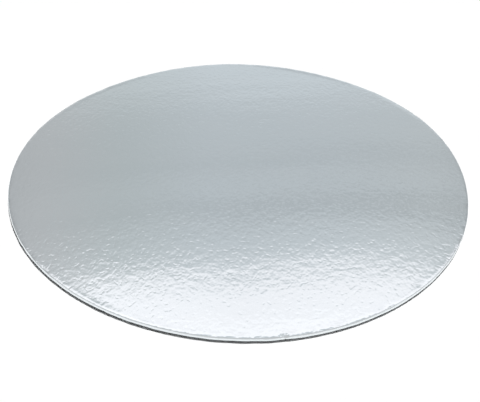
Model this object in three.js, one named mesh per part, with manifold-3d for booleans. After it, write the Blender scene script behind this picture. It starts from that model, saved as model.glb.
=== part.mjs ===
// A round cake board: a stiff card disc faced with silver foil paper. The foil is wrapped round the edge
// and turned under in small pleats, and a disc of backing paper covers all but the outermost ring of them.
// Millimetres, +Z up. The origin is the centre of the underside, in the plane that the board rests on.
import * as THREE from "three";
import { mergeVertices } from "three/addons/utils/BufferGeometryUtils.js";
import Module from "manifold-3d";

const wasm = await Module();
wasm.setup();

// The board
const diameter = 254;
const thickness = 2.5;

// The rim, where the foil is pulled over the cut edge of the card
const topShoulderReach = 0.6; // how far in from the edge the top face begins to fall
const topShoulderDrop = 0.6; // how far it has fallen where it meets the upright edge
const lowerShoulderReach = 1.3; // how far in the edge has turned when it becomes the underside
const lowerShoulderRise = 1.2; // height of that turn above the turned foil
const topShare = 0.35; // the most of the edge's height that the top shoulder may take
const lowerShare = 0.55; // the most that the lower one may take

// The underside
const foilThickness = 0.07;
const backingThickness = 0.15;
const backingInset = 8; // ring of turned foil left showing round the backing paper
const pleatPitch = 10; // along the edge of the board
const pleatUnevenness = 0.5; // share of the pitch, and of the width, by which a pleat may differ
const pleatRoot = 0.1; // how far a pleat reaches under the backing paper

// Facets
const roundSegments = 180;
const shoulderSegments = 4;

const radius = diameter / 2;
const backingRadius = radius - backingInset;

// A pleat is a tuck, so two more layers of foil lie on the first, and the backing paper lies over them.
const pleatHeight = 2 * foilThickness;
const turnedFoilHeight = backingThickness + pleatHeight;

// Foil turned in from the edge has too much length for its new, smaller circle, and each pleat takes up
// twice its own width of that. Shared evenly, this is the width where it goes under the backing paper.
const pleatCount = Math.round((Math.PI * diameter) / pleatPitch);
const pleatWidth = (2 * Math.PI * backingInset) / pleatCount;

const edgeHeight = thickness - turnedFoilHeight;
const topTangentHeight = thickness - Math.min(topShoulderDrop, topShare * edgeHeight);
const lowerTangentHeight = turnedFoilHeight + Math.min(lowerShoulderRise, lowerShare * edgeHeight);

// A number from -0.5 to 0.5 that never settles into a visible rhythm as the index runs
const goldenRatio = (1 + Math.sqrt(5)) / 2;
const stray = (index) => ((index * goldenRatio) % 1) - 0.5;

// Half of the board's section, from the middle of the underside round the edge to the middle of the top
// face. undersideHeight is that of the foil round the backing paper: lower than the foil over a pleat.
function halfSection(undersideHeight) {
  const topCentre = radius - topShoulderReach;
  const lowerCentre = radius - lowerShoulderReach;
  const topDrop = thickness - topTangentHeight;
  const lowerRise = lowerTangentHeight - undersideHeight;

  const section = new THREE.Path();
  section.moveTo(0, 0);
  section.lineTo(backingRadius, 0);
  section.lineTo(backingRadius, undersideHeight);
  section.absellipse(lowerCentre, lowerTangentHeight, lowerShoulderReach, lowerRise, -Math.PI / 2, 0);
  section.absellipse(topCentre, topTangentHeight, topShoulderReach, topDrop, 0, Math.PI / 2);
  section.lineTo(0, thickness);
  return section.getPoints(shoulderSegments / 2); // an arc gets two segments for each division
}

// A closed three.js geometry as a solid that can be joined and cut
function solidOf(geometry) {
  const bare = geometry.clone();
  bare.deleteAttribute("normal");
  bare.deleteAttribute("uv");
  const merged = mergeVertices(bare, 1e-4);
  return new wasm.Manifold(
    new wasm.Mesh({
      numProp: 3,
      vertProperties: merged.attributes.position.array,
      triVerts: new Uint32Array(merged.index.array),
    }),
  );
}

function geometryOf(solid) {
  const { vertProperties, triVerts } = solid.getMesh();
  const geometry = new THREE.BufferGeometry();
  geometry.setAttribute("position", new THREE.BufferAttribute(vertProperties, 3));
  geometry.setIndex(new THREE.BufferAttribute(triVerts, 1));
  return geometry;
}

// The section turned about the Z axis
function turnedBoard(undersideHeight) {
  const turned = new THREE.LatheGeometry(halfSection(undersideHeight), roundSegments);
  return solidOf(turned.rotateX(Math.PI / 2));
}

// A pleat before trimming: a needle with its point at the edge of the board, one side radial and the
// other leaning, as a tuck folded over to one side is. It stands from the table up into the board.
function pleatBlank(index) {
  const width = pleatWidth * (1 + pleatUnevenness * stray(index + pleatCount));
  const innerEnd = backingRadius - pleatRoot;
  const outline = new THREE.Shape();
  outline.moveTo(radius, 0);
  outline.lineTo(innerEnd, width);
  outline.lineTo(innerEnd, 0);
  const blank = new THREE.ExtrudeGeometry(outline, { depth: lowerTangentHeight, bevelEnabled: false });
  const place = index + pleatUnevenness * stray(index);
  return solidOf(blank.rotateZ((place * 2 * Math.PI) / pleatCount));
}

// Every pleat, trimmed to what a board with its turned foil lower by a tuck would fill
function pleats() {
  const blanks = Array.from({ length: pleatCount }, (_, index) => pleatBlank(index));
  return wasm.Manifold.union(blanks).intersect(turnedBoard(turnedFoilHeight - pleatHeight));
}

const silverFoil = new THREE.MeshStandardMaterial({
  name: "silver_foil",
  color: 0xc3ccd1,
  metalness: 0.95,
  roughness: 0.25,
});

function cakeBoard() {
  const solid = turnedBoard(turnedFoilHeight).add(pleats());
  const mesh = new THREE.Mesh(geometryOf(solid), silverFoil);
  mesh.name = "cake_board";
  return mesh;
}

const part = new THREE.Group();
part.add(cakeBoard());

export default part;
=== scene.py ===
import math

import bpy
import numpy as np
from mathutils import Matrix, Vector


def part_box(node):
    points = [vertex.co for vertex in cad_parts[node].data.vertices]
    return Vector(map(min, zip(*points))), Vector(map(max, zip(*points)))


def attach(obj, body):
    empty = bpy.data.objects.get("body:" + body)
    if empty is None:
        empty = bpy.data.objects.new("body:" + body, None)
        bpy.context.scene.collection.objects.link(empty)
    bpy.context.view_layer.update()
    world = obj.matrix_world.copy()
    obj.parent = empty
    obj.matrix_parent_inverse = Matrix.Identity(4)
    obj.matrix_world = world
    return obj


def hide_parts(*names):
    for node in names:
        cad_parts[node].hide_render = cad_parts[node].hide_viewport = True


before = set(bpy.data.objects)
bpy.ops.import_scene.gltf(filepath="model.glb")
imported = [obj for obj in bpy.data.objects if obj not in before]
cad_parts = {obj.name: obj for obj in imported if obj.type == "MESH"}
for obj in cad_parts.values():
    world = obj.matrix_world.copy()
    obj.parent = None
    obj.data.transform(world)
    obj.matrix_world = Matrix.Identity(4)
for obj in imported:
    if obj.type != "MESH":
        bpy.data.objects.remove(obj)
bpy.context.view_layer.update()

# A round cake board: silver foil paper pulled round a disc of card, and backing paper underneath.
# Metres, +Z up, with the origin at the centre of the underside. MM turns millimetres into metres.
MM = 0.001

# The board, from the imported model
_, board_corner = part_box("cake_board")
RADIUS, THICKNESS = board_corner.x, board_corner.z

# The underside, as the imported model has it
FOIL_THICKNESS = 0.07 * MM
BACKING_THICKNESS = 0.15 * MM
BACKING_INSET = 8 * MM
BACKING_RADIUS = RADIUS - BACKING_INSET
PLEAT_COUNT = 80
PLEAT_UNEVENNESS = 0.5
PLEAT_WIDTH = 2 * math.pi * BACKING_INSET / PLEAT_COUNT
PLEAT_HEIGHT = 2 * FOIL_THICKNESS
PLEAT_TIP_WIDTH = 0.25 * MM
UNDERSIDE = BACKING_THICKNESS + PLEAT_HEIGHT
GOLDEN_RATIO = (1 + math.sqrt(5)) / 2

# The rim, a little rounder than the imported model's: how far in from the edge each shoulder
# reaches, and how far the top one falls and the lower one rises
TOP_REACH, TOP_DROP = 0.55 * MM, 1.08 * MM
LOWER_REACH, LOWER_RISE = 1.4 * MM, 0.98 * MM
TOP_TANGENT = THICKNESS - TOP_DROP
LOWER_TANGENT = UNDERSIDE + LOWER_RISE

# The fine mesh: a square grid drawn out into the middle of the face, and rings of points from
# there to the underside, with this many on each part of the section
GRID_RADIUS = 112 * MM
GRID_CELLS = 240
COLUMNS = 4 * GRID_CELLS
COLUMNS_PER_PLEAT = COLUMNS // PLEAT_COUNT
FACE_RINGS, TOP_RINGS, EDGE_RINGS, LOWER_RINGS, MARGIN_RINGS = 11, 8, 2, 7, 7
MARGIN_OVERLAP = 1 * MM
GATHER_END = RADIUS - 2.5 * MM
SHARP_FOLD = math.radians(50)

# The places of the columns across a pleat, each the sum of a share of the pleat's width and a
# share of the pitch: the foot and the top of the fold, the flat of the tuck, its slope, and plain
# foil after it
PLEAT_TOP, PLEAT_FOOT = 0.08, 1.45
PLEAT_STATIONS = (
    (0.00, 0.00), (PLEAT_TOP, 0.00), (0.50, 0.00), (1.00, 0.00), (PLEAT_FOOT, 0.00),
    (PLEAT_FOOT, 0.08), (1.20, 0.20), (1.00, 0.35), (0.70, 0.52), (0.40, 0.70), (0.20, 0.85),
    (0.00, 0.95),
)
PLEAT_RISE_SHARE = 0.2

# The backing paper: its rings, as shares of its radius, how far it sags up between two pleats, the
# share where that begins, and the height of its upper side, hidden in the board
PAPER_RINGS = (0.35, 0.7, 0.9, 0.94, 0.97, 0.985, 1.0)
PAPER_SAG, PAPER_SAG_START = 0.5 * PLEAT_HEIGHT, 0.9
PAPER_TOP = UNDERSIDE + 0.02 * MM

# How far the outline departs from round, in full from OUTLINE_FULL outwards: crests, their height
# in mm and the first one's angle
OUTLINE_FULL = RADIUS - 2 * MM
OUT_OF_ROUND = ((2, 0.27, 58), (3, 0.35, 52), (4, 0.28, 15), (5, 0.29, 23), (6, 0.19, -26))

# How far the foil face departs from flat: the shortest and longest waves, their slope and their
# number
FACE_SEED = 11
FACE_EASE = 4 * MM
PEEL_WAVES, PEEL_SLOPE, PEEL_COUNT = (6 * MM, 11 * MM), 0.0022, 90
ROLL_WAVES, ROLL_SLOPE, ROLL_COUNT = (14 * MM, 38 * MM), 0.0016, 60
ROLL_STRETCH = 5
ROLL_HEADING = math.radians(11)
WARP_WAVES, WARP_SLOPE, WARP_COUNT = (90 * MM, 220 * MM), 0.0018, 14

# How far the foil departs from the rim's plain section. EASE is where that begins, and where it
# is full.
RIM_SEED = 23
RIM_EASE = (RADIUS - 1.6 * MM, RADIUS - 0.3 * MM)
RIM_WAVES, RIM_SLOPE, RIM_COUNT = (5 * MM, 12 * MM), 0.025, 60
RIM_STRETCH = 3
CREASE_DEPTH, CREASE_WIDTH = 0.05 * MM, 0.35 * MM
CREASE_RANGE = (-0.3, 1)
RIDGE_SHARE, RIDGE_PLACE, RIDGE_WIDTH = 0.5, 2.2 * CREASE_WIDTH, 1.6 * CREASE_WIDTH
EDGE_FALL, EDGE_FALL_REACH = 0.02 * MM, 1.8 * MM
NICK_ANGLE = math.radians(-80.7)
NICK_SIZE, NICK_REACH, NICK_DEPTH = 2.2 * MM, 0.8 * MM, 0.09 * MM
NICK_INSET, NICK_DROP = 0.5 * MM, 0.2 * MM

# The foil's finish. A grain is the number of a noise's cells in a metre.
FOIL_COLOURS = ((0.81, 0.86, 0.885, 1), (0.84, 0.88, 0.90, 1))
FOIL_ROUGHNESS = (0.07, 0.09)
STREAK_GRAIN, STREAK_RANGE = 70, (0.3, 0.7)
CELL_STRETCH = (1.2, 0.88, 1)
PEEL_GRAIN, PEEL_DEPTH = 380, 0.043 * MM
PIT_GRAIN, PIT_RANGE, PIT_DEPTH = 520, (0.62, 0.78), 0.014 * MM
CRINKLE_GRAIN, CRINKLE_DEPTH = 450, 0.17 * MM
CRINKLE_REACH = (RADIUS - 1.1 * MM, RADIUS - 0.4 * MM)
CRINKLE_HEIGHTS = (0.45 * THICKNESS, 0.65 * THICKNESS)
PUCKER_GRAIN, PUCKER_DEPTH = 600, 0.75 * MM
PUCKER_REACH = (1.3 * NICK_SIZE, 0.5 * NICK_SIZE)

# The paper's finish
PAPER_COLOURS = ((0.80, 0.785, 0.75, 1), (0.90, 0.895, 0.87, 1))
PAPER_ROUGHNESS = 0.85
CLOUD_GRAIN, FIBRE_GRAIN = 260, 1800
TOOTH_DEPTH, TOOTH_STRENGTH = 0.03 * MM, 0.5

# The floor, and the light that falls on it
FLOOR_HALF_WIDTH = 6.0
FLOOR_COLOUR = (0.92, 0.92, 0.92, 1)
KEY_ENERGY = 3.45
KEY_SPREAD = math.radians(12)
KEY_AZIMUTH, KEY_ELEVATION = 30, 74

# The camera, as the photograph was taken: its target on the table, and the view from there
LENS_MM = 50
SENSOR_MM = 36
CAMERA_TARGET = Vector((0.38 * MM, -30.05 * MM, 0))
CAMERA_DISTANCE = 357.2 * MM
CAMERA_ELEVATION = math.radians(37.86)
CAMERA_ROLL = math.radians(1.66)
CAMERA_CLIP = (0.01, 50)

# The room that the foil mirrors. Behind the board is a pale grey wall, by elevation in degrees
# and brightness, with two darker bars across it that fade out to the left. Its sides are a little
# darker, by the direction's x. In front the room has one paler band half way up and a pale patch
# overhead, by elevation. It begins between two depths, which are the direction's y.
ROOM_TINT = (0.95, 1.0, 1.035)
ROOM_WALL = (
    (0, 0.88), (20, 0.75), (28, 0.69), (29.7, 0.585), (33, 0.575), (37, 0.60),
    (40, 0.60), (41.5, 0.63), (43, 0.66), (60, 0.72), (70, 0.58), (90, 0.55),
)
ROOM_BARS = (
    (33.8, 1.0), (34.4, 0.88), (35.4, 0.88), (36.0, 1.0),
    (37.5, 1.0), (38.2, 0.80), (39.2, 0.80), (40.0, 1.0),
)
ROOM_BARS_LEFT = (-0.40, 0.16)
ROOM_SIDES = (
    (-0.50, (0.68, 0.66, 0.65)),
    (-0.29, (0.93, 0.89, 0.87)),
    (-0.18, (0.905, 0.91, 0.89)),
    (-0.05, (0.99, 0.99, 0.99)),
    (0.13, (1.00, 1.00, 1.00)),
    (0.28, (1.01, 1.00, 0.985)),
    (0.50, (0.70, 0.68, 0.67)),
)
ROOM_FRONT = (
    (0, 0.84), (11, 0.80), (17, 0.66), (24, 0.62), (36, 0.60), (43, 0.64),
    (49, 0.82), (54, 0.80), (63, 0.60), (78, 0.54), (84, 0.62), (90, 0.72),
)
ROOM_FRONT_EDGE = (0.10, 0.45)

# How much each band leans: its height is z plus the greatest of x times each tilt
ROOM_TILTS = (0.13, 0.0)

# A wide soft light above the wall. Its ends are brighter than its middle, by x, and thin dimmer
# bars lie across its foot, by elevation. The pairs give where it is dark and where it is full:
# the elevation at its foot and at its top, its depth, and x at its left end.
SOFT_LIGHT_TINT = (1.02, 1.0, 1.02)
SOFT_LIGHT = ((-0.25, 1.13), (-0.12, 1.07), (0.02, 1.025), (0.20, 1.055))
SOFT_LIGHT_BARS = ((46.1, 1.02), (46.8, 0.93), (47.3, 1.12), (47.9, 0.88), (48.5, 1.09))
SOFT_LIGHT_FOOT = (42.8, 45.9)
SOFT_LIGHT_TOP = (60.0, 56.0)
SOFT_LIGHT_DEPTHS = (0.40, 0.58)
SOFT_LIGHT_LEFT = (-0.45, -0.24)

# The light that reaches the floor from all round
AMBIENT = 0.03


def plane_waves(x, y, seed, count, wavelengths, slope, heading=0.0, stretch=1.0):
    """A smooth random height: the sum of plane cosine waves of random heading, length and phase,
    each with the same steepness, so that the whole has the given root-mean-square slope. Lengths
    along the heading are stretched."""
    rng = np.random.default_rng(seed)
    along = (x * math.cos(heading) + y * math.sin(heading)) / stretch
    across = y * math.cos(heading) - x * math.sin(heading)
    turn = rng.uniform(0, 2 * math.pi, count)
    number = 2 * math.pi / rng.uniform(*wavelengths, count)
    phase = rng.uniform(0, 2 * math.pi, count)
    height = np.zeros_like(x)
    for k, t, p in zip(number, turn, phase):
        height += np.cos(k * (along * math.cos(t) + across * math.sin(t)) + p) / k
    return height * slope * math.sqrt(2 / count)


def rim_waves(angle, along_section, seed, count, wavelengths, slope):
    """A smooth random height round the rim that closes on itself: as plane_waves, but every wave
    has a whole number of crests round the rim."""
    rng = np.random.default_rng(seed)
    turn = rng.uniform(0, 2 * math.pi, count)
    number = 2 * math.pi / rng.uniform(*wavelengths, count)
    phase = rng.uniform(0, 2 * math.pi, count)
    height = np.zeros(np.broadcast_shapes(angle.shape, along_section.shape))
    for k, t, p in zip(number, turn, phase):
        crests = round(k * RADIUS * math.cos(t))
        height += np.cos(crests * angle + k * math.sin(t) * along_section + p) / k
    return height * slope * math.sqrt(2 / count)


def smoothstep(low, high, value):
    """0 below low, 1 above high, and three t squared less two t cubed between them."""
    t = np.clip((value - low) / (high - low), 0, 1)
    return t * t * (3 - 2 * t)


def stray(index):
    """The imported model's number from -0.5 to 0.5 for an index: the fraction left of the index
    times the golden ratio, less a half."""
    return (index * GOLDEN_RATIO) % 1 - 0.5


def face_height(x, y):
    """How far the foil face stands above flat: fine swells from the glue, longer ones drawn out
    along the direction in which the foil was rolled on, and the slow warp of the card, eased to
    nothing at the rim."""
    height = plane_waves(x, y, FACE_SEED, PEEL_COUNT, PEEL_WAVES, PEEL_SLOPE)
    height += plane_waves(
        x, y, FACE_SEED + 1, ROLL_COUNT, ROLL_WAVES, ROLL_SLOPE, ROLL_HEADING, ROLL_STRETCH
    )
    height += plane_waves(x, y, FACE_SEED + 2, WARP_COUNT, WARP_WAVES, WARP_SLOPE)
    return height * (1 - smoothstep(RADIUS - FACE_EASE, RADIUS, np.hypot(x, y)))


def square_to_disc(cells):
    """The points of a square grid drawn out to the unit disc: on each of the four triangles
    between the diagonals the longer coordinate becomes the radius and the other the share of an
    eighth turn."""
    line = np.linspace(-1, 1, cells + 1)
    a, b = np.meshgrid(line, line, indexing="ij")
    wide = np.abs(a) >= np.abs(b)
    radius = np.where(wide, a, b)
    ratio = np.divide(np.where(wide, b, a), radius, out=np.zeros_like(a), where=radius != 0)
    angle = np.where(wide, ratio * math.pi / 4, math.pi / 2 - ratio * math.pi / 4)
    return (radius * np.cos(angle)).ravel(), (radius * np.sin(angle)).ravel()


def grid_faces(rows, columns, closed=False):
    """The quads between neighbours of a grid of points numbered row by row, anticlockwise when
    rows run along X and columns along Y. A closed grid also joins its last column to its
    first."""
    index = np.arange(rows * columns).reshape(rows, columns)
    if closed:
        index = np.hstack([index, index[:, :1]])
    quads = [index[:-1, :-1], index[1:, :-1], index[1:, 1:], index[:-1, 1:]]
    return np.stack(quads, axis=-1).reshape(-1, 4)


def grid_border(cells):
    """The numbers of the points round a square grid, anticlockwise from its lowest X and Y."""
    index = np.arange((cells + 1) ** 2).reshape(cells + 1, cells + 1)
    sides = [index[:-1, 0], index[-1, :-1], index[:0:-1, -1], index[0, :0:-1]]
    return np.concatenate(sides)


def fan_faces(ring, pole, upwards):
    """The triangles between a ring of points, anticlockwise from above, and its pole."""
    following = np.roll(ring, -1)
    poles = np.full(len(ring), pole)
    corners = [ring, following, poles] if upwards else [ring, poles, following]
    return np.stack(corners, axis=-1)


def mesh_object(name, points, quads, triangles=()):
    """An object whose mesh has these points, quads and triangles, smooth but for its sharp
    folds."""
    mesh = bpy.data.meshes.new(name)
    triangles = np.asarray(triangles, int).reshape(-1, 3)
    faces = [*map(tuple, quads.tolist()), *map(tuple, triangles.tolist())]
    mesh.from_pydata(points.tolist(), [], faces)
    mesh.shade_smooth()
    mesh.set_sharp_from_angle(angle=SHARP_FOLD)
    piece = bpy.data.objects.new(name, mesh)
    bpy.context.scene.collection.objects.link(piece)
    return piece


def pleat_angles():
    """The angle of each pleat's fold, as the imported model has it, and the first one a turn on."""
    index = np.arange(PLEAT_COUNT)
    place = index + PLEAT_UNEVENNESS * stray(index)
    angle = place * 2 * math.pi / PLEAT_COUNT
    return np.append(angle, angle[0] + 2 * math.pi)


def pleat_widths():
    """Each pleat's width at the edge of the backing paper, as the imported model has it."""
    index = np.arange(PLEAT_COUNT)
    return PLEAT_WIDTH * (1 + PLEAT_UNEVENNESS * stray(index + PLEAT_COUNT))


def steps(start, end, count):
    """Evenly spaced values from the first one after the start to the end."""
    return np.linspace(start, end, count + 1)[1:]


def rim_section():
    """The section from the face's grid round to under the backing paper, a row for each ring: its
    radius, its height, and how far its normal points outwards and upwards. It runs level, down an
    ellipse, down the upright edge, in along a second ellipse and level again."""
    level = steps(GRID_RADIUS, RADIUS - TOP_REACH, FACE_RINGS)
    turn = steps(math.pi / 2, 0, TOP_RINGS)
    wall = steps(TOP_TANGENT, LOWER_TANGENT, EDGE_RINGS)
    under = steps(0, -math.pi / 2, LOWER_RINGS)
    margin = steps(RADIUS - LOWER_REACH, BACKING_RADIUS - MARGIN_OVERLAP, MARGIN_RINGS)
    ones = np.ones_like
    radius = [level, RADIUS - TOP_REACH * (1 - np.cos(turn)), RADIUS * ones(wall)]
    radius += [RADIUS - LOWER_REACH * (1 - np.cos(under)), margin]
    height = [THICKNESS * ones(level), TOP_TANGENT + TOP_DROP * np.sin(turn), wall]
    height += [LOWER_TANGENT + LOWER_RISE * np.sin(under), UNDERSIDE * ones(margin)]
    outward = [0 * level, np.cos(turn) / TOP_REACH, ones(wall)]
    outward += [np.cos(under) / LOWER_REACH, 0 * margin]
    upward = [ones(level), np.sin(turn) / TOP_DROP, 0 * wall]
    upward += [np.sin(under) / LOWER_RISE, -ones(margin)]
    radius, height, outward, upward = map(np.concatenate, (radius, height, outward, upward))
    length = np.hypot(outward, upward)
    return radius, height, outward / length, upward / length


def out_of_round(angle):
    """How far the rim stands outside its circle: a sum of cosines, each with whole crests."""
    return MM * sum(
        height * np.cos(crests * (angle - math.radians(first)))
        for crests, height, first in OUT_OF_ROUND
    )


def creases(across, gap, pleat):
    """The relief where each pleat begins at the rim: a Gaussian groove of its own depth, and
    beside it a wider, lower Gaussian ridge. Across is the distance past the fold, and gap that to
    the next one."""
    rng = np.random.default_rng(RIM_SEED)
    depth = CREASE_DEPTH * rng.uniform(*CREASE_RANGE, PLEAT_COUNT)[pleat]
    nearest = across - gap * (across > gap / 2)
    groove = np.exp(-((nearest / CREASE_WIDTH) ** 2))
    ridge = np.exp(-(((nearest - RIDGE_PLACE) / RIDGE_WIDTH) ** 2))
    return depth * (RIDGE_SHARE * ridge - groove)


def nick(angle, radius, height):
    """The dent in the front rim: a Gaussian of the distance along the rim and down over its
    shoulder."""
    turned = (angle - NICK_ANGLE + math.pi) % (2 * math.pi) - math.pi
    along = turned * RADIUS / NICK_SIZE
    down = np.hypot(radius - RADIUS + NICK_INSET, height - THICKNESS + NICK_DROP) / NICK_REACH
    return -NICK_DEPTH * np.exp(-(along**2) - down**2)


def rim_rings(border_angle):
    """The rim's points, ring by ring, from the border of the face's grid to under the backing
    paper. The columns start evenly spaced and gather at the pleats before they reach the
    shoulder. Each point stands off the plain section along its normal by what the creases, the
    swells, the slight fall of the face's edge, the nick and the tucks there add."""
    radius, height, outward, upward = (part[:, None] for part in rim_section())
    level = np.clip(upward, 0, 1)
    below = np.where(upward < 0, np.clip(RADIUS - radius, 0, None) / BACKING_INSET, 0)

    pleat = np.arange(COLUMNS) // COLUMNS_PER_PLEAT
    fold = pleat_angles()
    gap = (fold[1:] - fold[:-1])[pleat]
    width = np.maximum(pleat_widths()[pleat] * below, PLEAT_TIP_WIDTH)
    stations = np.array(PLEAT_STATIONS)[np.arange(COLUMNS) % COLUMNS_PER_PLEAT]
    gathered = fold[pleat] + stations[:, 0] * width / radius + stations[:, 1] * gap
    gather = np.where(upward < 1, 1, smoothstep(GRID_RADIUS, GATHER_END, radius))
    angle = border_angle + gather * (gathered - border_angle)
    across = (angle - fold[pleat]) * radius

    reach = smoothstep(*RIM_EASE, radius) * (1 - np.clip(below, 0, 1))
    swell = rim_waves(angle, RIM_STRETCH * height, RIM_SEED + 1, RIM_COUNT, RIM_WAVES, RIM_SLOPE)
    fall = EDGE_FALL * smoothstep(RADIUS - EDGE_FALL_REACH, RADIUS - TOP_REACH, radius) * level
    tuck = smoothstep(0, PLEAT_TOP * width, across)
    tuck *= 1 - smoothstep(width, PLEAT_FOOT * width, across)
    tuck *= PLEAT_HEIGHT * smoothstep(0, PLEAT_RISE_SHARE, below)
    off = (creases(across, gap * radius, pleat) + swell) * reach
    off += tuck - fall + nick(angle, radius, height)

    outline = out_of_round(angle) * smoothstep(BACKING_RADIUS, OUTLINE_FULL, radius)
    flat = face_height(radius * np.cos(angle), radius * np.sin(angle)) * level
    out = radius + outward * off + outline
    x, y = out * np.cos(angle), out * np.sin(angle)
    return np.stack([x, y, height + upward * off + flat], axis=-1)


def foil_covered_board():
    """The board in its foil: the face's grid, the rim's rings joined on round it, and a flat fan
    that closes the underside behind the backing paper."""
    x, y = square_to_disc(GRID_CELLS)
    x, y = x * GRID_RADIUS, y * GRID_RADIUS
    face = np.stack([x, y, THICKNESS + face_height(x, y)], axis=-1)
    border = grid_border(GRID_CELLS)
    first_angle = math.atan2(y[border[0]], x[border[0]])
    border = np.roll(border, round(first_angle / (2 * math.pi) * COLUMNS))
    rings = rim_rings(np.arange(COLUMNS) * 2 * math.pi / COLUMNS)
    centre = np.array([[0, 0, UNDERSIDE]])

    rim = len(face) + np.arange(len(rings) * COLUMNS).reshape(-1, COLUMNS)
    numbers = np.vstack([border, rim])
    strips = numbers.ravel()[grid_faces(len(numbers), COLUMNS, closed=True)]
    fan = fan_faces(numbers[-1], numbers[-1, -1] + 1, upwards=False)
    points = np.vstack([face, rings.reshape(-1, 3), centre])
    quads = np.vstack([grid_faces(GRID_CELLS + 1, GRID_CELLS + 1), strips])
    return mesh_object("foil_covered_board", points, quads, fan)


def backing_paper():
    """The paper under the board: level on the table, sagging a little up between the pleats near
    its edge, by the square of a sine of the way from one to the next. It has an upright cut edge
    and a flat upper side hidden in the board, and both sides close at a centre point."""
    fold = pleat_angles()
    pleat = np.arange(COLUMNS) // COLUMNS_PER_PLEAT
    share = np.arange(COLUMNS) % COLUMNS_PER_PLEAT / COLUMNS_PER_PLEAT
    angle = fold[pleat] + share * (fold[1:] - fold[:-1])[pleat]
    radius = np.array(PAPER_RINGS)[:, None] * BACKING_RADIUS
    sag = PAPER_SAG * np.sin(math.pi * share) ** 2
    sag = sag * smoothstep(PAPER_SAG_START, 1, radius / BACKING_RADIUS)
    lower = np.stack([radius * np.cos(angle), radius * np.sin(angle), sag], axis=-1)
    upper = lower[::-1].copy()
    upper[..., 2] = PAPER_TOP
    rings = np.vstack([lower, upper])
    numbers = np.arange(len(rings) * COLUMNS).reshape(-1, COLUMNS)
    quads = grid_faces(len(rings), COLUMNS, closed=True)[:, ::-1]
    pole = len(rings) * COLUMNS
    fans = [
        fan_faces(numbers[0], pole, upwards=False),
        fan_faces(numbers[-1], pole + 1, upwards=True),
    ]
    poles = np.array([[0, 0, 0], [0, 0, PAPER_TOP]])
    points = np.vstack([rings.reshape(-1, 3), poles])
    return mesh_object("backing_paper", points, quads, np.vstack(fans))


class Finish:
    """A node material and short calls that add its nodes. Each gives back the node's output."""

    def __init__(self, name):
        self.material = bpy.data.materials.new(name)
        self.material.use_nodes = True
        self.tree = self.material.node_tree
        self.shader = self.tree.nodes["Principled BSDF"]

    def add(self, kind, settings=(), inputs=()):
        """A node of that kind, with properties set by name and sockets set or linked by name."""
        node = self.tree.nodes.new(kind)
        for key, value in dict(settings).items():
            setattr(node, key, value)
        for key, value in dict(inputs).items():
            if isinstance(value, bpy.types.NodeSocket):
                self.tree.links.new(value, node.inputs[key])
            else:
                node.inputs[key].default_value = value
        return node

    def shade(self, **sockets):
        """Sets or links the shader's own sockets, with _ for each space in their names."""
        for key, value in sockets.items():
            socket = self.shader.inputs[key.replace("_", " ")]
            if isinstance(value, bpy.types.NodeSocket):
                self.tree.links.new(value, socket)
            else:
                socket.default_value = value

    def place(self):
        """The place on the piece, in metres from its origin."""
        return self.add("ShaderNodeTexCoord").outputs["Object"]

    def mapped(self, place, scale, turn=0.0):
        """The place scaled along each axis and turned about Z."""
        inputs = {"Vector": place, "Rotation": (0, 0, turn), "Scale": scale}
        return self.add("ShaderNodeMapping", inputs=inputs).outputs["Vector"]

    def noise(self, place, grain, detail, roughness=0.5):
        inputs = {"Vector": place, "Scale": grain, "Detail": detail, "Roughness": roughness}
        return self.add("ShaderNodeTexNoise", inputs=inputs).outputs["Fac"]

    def number(self, operation, a, b):
        return self.add("ShaderNodeMath", {"operation": operation}, {0: a, 1: b}).outputs["Value"]

    def vector(self, operation, output, a, b=(0, 0, 0)):
        node = self.add("ShaderNodeVectorMath", {"operation": operation}, {0: a, 1: b})
        return node.outputs[output]

    def spread(self, value, old, new=(0, 1), kind="LINEAR"):
        """The value carried from the old range to the new one, and held at its ends."""
        inputs = {"Value": value, "From Min": old[0], "From Max": old[1]}
        inputs.update({"To Min": new[0], "To Max": new[1]})
        node = self.add("ShaderNodeMapRange", {"interpolation_type": kind}, inputs)
        return node.outputs["Result"]

    def blend(self, factor, colours):
        inputs = {"Factor": factor, "A": colours[0], "B": colours[1]}
        return self.add("ShaderNodeMix", {"data_type": "RGBA"}, inputs).outputs["Result"]

    def bump(self, height, depth, beneath=None, strength=1.0):
        """A relief this deep for a height from 0 to 1, laid over the one beneath."""
        inputs = {"Strength": strength, "Distance": depth, "Height": height}
        if beneath is not None:
            inputs["Normal"] = beneath
        return self.add("ShaderNodeBump", inputs=inputs).outputs["Normal"]


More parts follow.
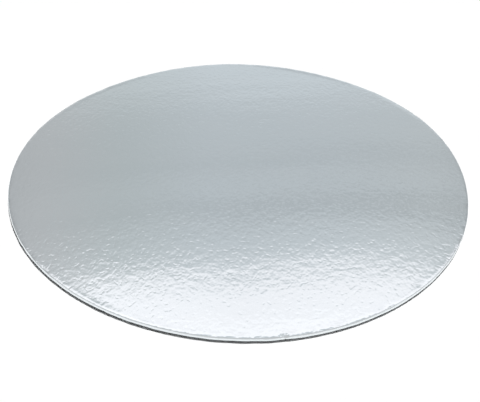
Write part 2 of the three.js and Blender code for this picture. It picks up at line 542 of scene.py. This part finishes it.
def silver_foil():
    """Silver foil on paper: a cool metal with small pits in a fine orange peel, and a gloss and
    colour that vary a little along the direction in which the foil was rolled on. Small crinkles
    run over the rim's top shoulder, and the foil is puckered in the nick."""
    foil = Finish("silver_foil")
    place = foil.place()
    rolled = foil.mapped(place, (1 / ROLL_STRETCH, 1, 1), turn=-ROLL_HEADING)
    streaks = foil.noise(rolled, STREAK_GRAIN, detail=3, roughness=0.55)
    gloss = foil.spread(streaks, STREAK_RANGE, FOIL_ROUGHNESS)

    cells = foil.mapped(place, CELL_STRETCH)
    pits = foil.spread(foil.noise(cells, PIT_GRAIN, detail=0), PIT_RANGE, (1, 0), "SMOOTHSTEP")
    relief = foil.bump(pits, PIT_DEPTH)
    relief = foil.bump(foil.noise(cells, PEEL_GRAIN, detail=1), PEEL_DEPTH, relief)

    def waves(grain, strength):
        """A smooth noise about zero, times a strength from 0 to 1."""
        noise = foil.noise(place, grain, detail=1)
        return foil.number("MULTIPLY", foil.number("SUBTRACT", noise, 0.5), strength)

    level = foil.vector("MULTIPLY", "Vector", place, (1, 1, 0))
    outward = foil.vector("LENGTH", "Value", level)
    upward = foil.add("ShaderNodeSeparateXYZ", inputs={"Vector": place}).outputs["Z"]
    shoulder = foil.number(
        "MULTIPLY",
        foil.spread(outward, CRINKLE_REACH, kind="SMOOTHSTEP"),
        foil.spread(upward, CRINKLE_HEIGHTS, kind="SMOOTHSTEP"),
    )
    relief = foil.bump(waves(CRINKLE_GRAIN, shoulder), CRINKLE_DEPTH, relief)

    nick_place = (RADIUS * math.cos(NICK_ANGLE), RADIUS * math.sin(NICK_ANGLE), THICKNESS)
    away = foil.vector("DISTANCE", "Value", place, nick_place)
    near = foil.spread(away, PUCKER_REACH, kind="SMOOTHSTEP")
    relief = foil.bump(waves(PUCKER_GRAIN, near), PUCKER_DEPTH, relief)

    foil.shade(
        Base_Color=foil.blend(streaks, FOIL_COLOURS), Roughness=gloss, Normal=relief, Metallic=1.0
    )
    return foil.material


def white_paper():
    """Uncoated white paper: matt, clouded where its fibres are thicker, with a soft tooth."""
    paper = Finish("white_paper")
    place = paper.place()
    clouds = paper.noise(place, CLOUD_GRAIN, detail=5, roughness=0.6)
    fibres = paper.noise(place, FIBRE_GRAIN, detail=3, roughness=0.6)
    tooth = paper.bump(fibres, TOOTH_DEPTH, strength=TOOTH_STRENGTH)
    paper.shade(
        Base_Color=paper.blend(clouds, PAPER_COLOURS), Roughness=PAPER_ROUGHNESS, Normal=tooth
    )
    return paper.material


def pale_floor():
    """A wide pale floor in the plane that the board rests on."""
    half = FLOOR_HALF_WIDTH
    corners = np.array([[-half, -half, 0], [half, -half, 0], [half, half, 0], [-half, half, 0]])
    floor = mesh_object("floor", corners, np.array([[0, 1, 2, 3]]))
    matt = Finish("pale_floor")
    matt.shade(Base_Color=FLOOR_COLOUR, Roughness=1.0, Specular_IOR_Level=0.0)
    floor.data.materials.append(matt.material)


def camera_pose():
    """The camera's matrix: its right, up and back directions, turned by the roll, and its
    place."""
    back = Vector((0, -math.cos(CAMERA_ELEVATION), math.sin(CAMERA_ELEVATION)))
    right = Vector((1, 0, 0))
    up = Vector((0, math.sin(CAMERA_ELEVATION), math.cos(CAMERA_ELEVATION)))
    rolled_right = right * math.cos(CAMERA_ROLL) + up * math.sin(CAMERA_ROLL)
    rolled_up = up * math.cos(CAMERA_ROLL) - right * math.sin(CAMERA_ROLL)
    matrix = Matrix((rolled_right, rolled_up, back)).transposed().to_4x4()
    matrix.translation = CAMERA_TARGET + back * CAMERA_DISTANCE
    return matrix


def set_camera():
    data = bpy.data.cameras.new("camera")
    data.lens = LENS_MM
    data.sensor_width = SENSOR_MM
    data.sensor_fit = "HORIZONTAL"
    data.clip_start, data.clip_end = CAMERA_CLIP
    camera = bpy.data.objects.new("camera", data)
    bpy.context.scene.collection.objects.link(camera)
    camera.matrix_world = camera_pose()
    bpy.context.scene.camera = camera


def direction(azimuth, elevation):
    """The unit vector at an azimuth in degrees clockwise from +Y and an elevation in degrees."""
    a, e = math.radians(azimuth), math.radians(elevation)
    return Vector((math.sin(a) * math.cos(e), math.cos(a) * math.cos(e), math.sin(e)))


def set_key_light():
    """The light that makes the floor bright and lays the board's narrow shadow to the front
    left."""
    data = bpy.data.lights.new("key", "SUN")
    data.energy = KEY_ENERGY
    data.angle = KEY_SPREAD
    key = bpy.data.objects.new("key", data)
    bpy.context.scene.collection.objects.link(key)
    key.rotation_mode = "QUATERNION"
    key.rotation_quaternion = direction(KEY_AZIMUTH, KEY_ELEVATION).to_track_quat("Z", "Y")
    key.visible_glossy = False


def set_surroundings():
    """The pale room round the board: what its foil mirrors, and the little light that reaches the
    floor from all round."""
    world = bpy.data.worlds.new("room")
    bpy.context.scene.world = world
    world.use_nodes = True
    nodes, links = world.node_tree.nodes, world.node_tree.links

    def put(value, socket):
        """Links an output to a socket, or sets the socket to a number or colour."""
        if isinstance(value, bpy.types.NodeSocket):
            links.new(value, socket)
        else:
            socket.default_value = value

    def result_of(operation, *values):
        node = nodes.new("ShaderNodeMath")
        node.operation = operation
        for value, socket in zip(values, node.inputs):
            put(value, socket)
        return node.outputs["Value"]

    def step(value, dark, full):
        """0 where the value is at dark, 1 at full, and smooth between them."""
        node = nodes.new("ShaderNodeMapRange")
        node.interpolation_type = "SMOOTHSTEP"
        for key, number in (("Value", value), ("From Min", dark), ("From Max", full)):
            put(number, node.inputs[key])
        return node.outputs["Result"]

    def ramp(stops, value):
        """The colour or brightness at a value between stops of position and colour or
        brightness."""
        node = nodes.new("ShaderNodeValToRGB")
        elements = node.color_ramp.elements
        while len(elements) < len(stops):
            elements.new(0.5)
        for element, (position, colour) in zip(elements, stops):
            element.position = position
            element.color = (*np.broadcast_to(colour, 3), 1)
        put(value, node.inputs["Fac"])
        return node.outputs["Color"]

    def mix(factor, a, b, blend="MIX"):
        node = nodes.new("ShaderNodeMix")
        node.data_type, node.blend_type = "RGBA", blend
        for key, value in (("Factor", factor), ("A", a), ("B", b)):
            put(value, node.inputs[key])
        return node.outputs["Result"]

    def times(a, b):
        """Two colours multiplied."""
        return mix(1.0, a, b, "MULTIPLY")

    def sine(elevation):
        return math.sin(math.radians(elevation))

    def by_elevation(stops, value):
        return ramp([(sine(elevation), colour) for elevation, colour in stops], value)

    def by_side(stops, x):
        halved = result_of("MULTIPLY_ADD", x, 0.5, 0.5)
        return ramp([(0.5 + 0.5 * side, colour) for side, colour in stops], halved)

    split = nodes.new("ShaderNodeSeparateXYZ")
    put(nodes.new("ShaderNodeTexCoord").outputs["Generated"], split.inputs["Vector"])
    x, y, z = (split.outputs[axis] for axis in "XYZ")
    lean = result_of("MAXIMUM", *(result_of("MULTIPLY", x, tilt) for tilt in ROOM_TILTS))
    height = result_of("ADD", z, lean)

    wall = by_elevation(ROOM_WALL, height)
    barred = mix(step(x, *ROOM_BARS_LEFT), wall, by_elevation(ROOM_BARS, height), "MULTIPLY")
    behind = times(times(barred, by_side(ROOM_SIDES, x)), (*ROOM_TINT, 1))
    room = mix(step(y, *ROOM_FRONT_EDGE), by_elevation(ROOM_FRONT, z), behind)

    light = step(height, *map(sine, SOFT_LIGHT_FOOT))
    light = result_of("MULTIPLY", light, step(height, *map(sine, SOFT_LIGHT_TOP)))
    light = result_of("MULTIPLY", light, step(y, *SOFT_LIGHT_DEPTHS))
    light = result_of("MULTIPLY", light, step(x, *SOFT_LIGHT_LEFT))
    soft = times(by_side(SOFT_LIGHT, x), by_elevation(SOFT_LIGHT_BARS, height))
    room = mix(light, room, times(soft, (*SOFT_LIGHT_TINT, 1)))

    mirrored = nodes["Background"]
    put(room, mirrored.inputs["Color"])
    ambient = nodes.new("ShaderNodeBackground")
    put((1, 1, 1, 1), ambient.inputs["Color"])
    put(AMBIENT, ambient.inputs["Strength"])
    pick = nodes.new("ShaderNodeMixShader")
    put(nodes.new("ShaderNodeLightPath").outputs["Diffuse Depth"], pick.inputs["Fac"])
    put(mirrored.outputs["Background"], pick.inputs[1])
    put(ambient.outputs["Background"], pick.inputs[2])
    put(pick.outputs["Shader"], nodes["World Output"].inputs["Surface"])


def make_board():
    foil = foil_covered_board()
    foil.data.materials.append(silver_foil())
    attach(foil, "root")
    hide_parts("cake_board")

    paper = backing_paper()
    paper.data.materials.append(white_paper())
    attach(paper, "root")


set_camera()
make_board()
pale_floor()
set_key_light()
set_surroundings()
bpy.context.scene.view_settings.view_transform = "Standard"
